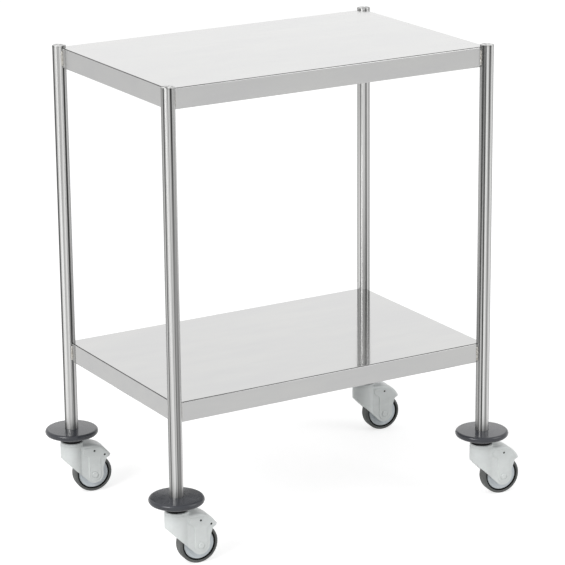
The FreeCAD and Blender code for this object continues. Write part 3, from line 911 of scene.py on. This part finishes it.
def studio_floor():
    """Pale floor that looks white where it is in full light and keeps the soft shadow."""
    mesh = bpy.data.meshes.new("studio_floor")
    reach = 14.0
    corners = [(-reach, -reach, 0), (reach, -reach, 0), (reach, reach, 0), (-reach, reach, 0)]
    mesh.from_pydata(corners, [], [(0, 1, 2, 3)])
    floor = bpy.data.objects.new("studio_floor", mesh)
    bpy.context.scene.collection.objects.link(floor)
    material = bpy.data.materials.new("studio_floor_pale_paper")
    material.use_nodes = True
    tree = material.node_tree
    tree.nodes.clear()
    # The glow lifts the lit paper to white, and no more
    glow_strength = 0.66
    paper = add_node(tree, "ShaderNodeBsdfDiffuse", values={"Color": linear("#CDCDCD")})
    glow = add_node(tree, "ShaderNodeMath", {"operation": "MULTIPLY"}, {1: glow_strength},
                    {0: background_rays(tree).outputs["Value"]})
    white = add_node(tree, "ShaderNodeEmission", links={"Strength": glow.outputs["Value"]})
    both = add_node(tree, "ShaderNodeAddShader",
                    links={0: paper.outputs["BSDF"], 1: white.outputs["Emission"]})
    add_node(tree, "ShaderNodeOutputMaterial", links={"Surface": both.outputs["Shader"]})
    mesh.materials.append(material)


def studio_world():
    """White surroundings whose light on the object is a little lower."""
    world = bpy.data.worlds.new("studio")
    bpy.context.scene.world = world
    world.use_nodes = True
    tree = world.node_tree
    tree.nodes.clear()
    light_on_object = 0.55
    strength = add_node(tree, "ShaderNodeMapRange",
                        values={"To Min": light_on_object, "To Max": 1.0},
                        links={"Value": background_rays(tree).outputs["Value"]})
    sky = add_node(tree, "ShaderNodeBackground", values={"Color": (1, 1, 1, 1)},
                   links={"Strength": strength.outputs["Result"]})
    add_node(tree, "ShaderNodeOutputWorld", links={"Surface": sky.outputs["Background"]})


def soft_lamp(name, place, target, size, power):
    """Square softbox that faces a point."""
    lamp = bpy.data.lights.new(name, "AREA")
    lamp.shape = "SQUARE"
    lamp.size = size
    lamp.energy = power
    holder = bpy.data.objects.new(name, lamp)
    holder.location = place
    holder.rotation_euler = (Vector(target) - Vector(place)).to_track_quat("-Z", "Y").to_euler()
    bpy.context.scene.collection.objects.link(holder)


def photo_camera():
    """Camera at the photograph's viewing angle, solved from its shelf edges and leg lines.

    It stands away from the middle of the top shelf's surface.
    """
    shelf_low, shelf_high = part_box("top_shelf")
    middle = (shelf_low + shelf_high) / 2
    away = Vector((-2.4312, -4.1731, 0.9988))
    right = Vector((0.86114, -0.50829, -0.00877))
    up = Vector((0.15370, 0.24388, 0.95755))
    turn = Matrix((right, up, right.cross(up))).transposed().to_4x4()
    camera = bpy.data.cameras.new("photo_camera")
    camera.sensor_width = 36.0
    camera.lens = 169.9
    camera.clip_end = 60.0
    holder = bpy.data.objects.new("photo_camera", camera)
    place = Vector((middle.x, middle.y, shelf_high.z)) + away
    holder.matrix_world = Matrix.Translation(place) @ turn
    bpy.context.scene.collection.objects.link(holder)
    bpy.context.scene.camera = holder


class TROLLEY_OT_stage(bpy.types.Operator):
    """Set up the pale floor, the soft lamps and the camera"""

    bl_idname = "trolley.stage"
    bl_label = "Set Up Stage"

    def execute(self, context):
        studio_floor()
        studio_world()
        soft_lamp("key_softbox", place=(-3.7, -1.2, 2.8), target=(0, 0, 0.4), size=2.2, power=105)
        soft_lamp("fill_softbox", place=(2.6, -2.8, 2.6), target=(0, 0, 0.4), size=2.4, power=40)
        soft_lamp("rear_softbox", place=(2.0, 3.45, 1.75), target=(0, 0, 0.7), size=2.6, power=8)
        photo_camera()
        context.scene.view_settings.view_transform = "Standard"
        return {"FINISHED"}


class TROLLEY_PT_panel(bpy.types.Panel):
    """Buttons and sizes in the sidebar"""

    bl_label = "Trolley"
    bl_idname = "TROLLEY_PT_panel"
    bl_space_type = "VIEW_3D"
    bl_region_type = "UI"
    bl_category = "Trolley"

    def draw(self, context):
        for group in (context.scene.trolley_sizes, context.scene.trolley_colours):
            for prop in type(group).__annotations__:
                self.layout.prop(group, prop)
        for operator in OPERATORS:
            self.layout.operator(operator.bl_idname)


OPERATORS = (
    TROLLEY_OT_stage, TROLLEY_OT_finishes, TROLLEY_OT_shelves, TROLLEY_OT_legs, TROLLEY_OT_welds,
    TROLLEY_OT_buffers, TROLLEY_OT_housings, TROLLEY_OT_wheels, TROLLEY_OT_inner_parts,
)
CLASSES = (TrolleySizes, TrolleyColours) + OPERATORS + (TROLLEY_PT_panel,)


def register():
    for cls in CLASSES:
        bpy.utils.register_class(cls)
    bpy.types.Scene.trolley_sizes = bpy.props.PointerProperty(type=TrolleySizes)
    bpy.types.Scene.trolley_colours = bpy.props.PointerProperty(type=TrolleyColours)


def unregister():
    del bpy.types.Scene.trolley_colours
    del bpy.types.Scene.trolley_sizes
    for cls in reversed(CLASSES):
        bpy.utils.unregister_class(cls)


def main():
    register()
    for operator in OPERATORS:
        group, action = operator.bl_idname.split(".")
        getattr(getattr(bpy.ops, group), action)()


if __name__ == "__main__":
    main()
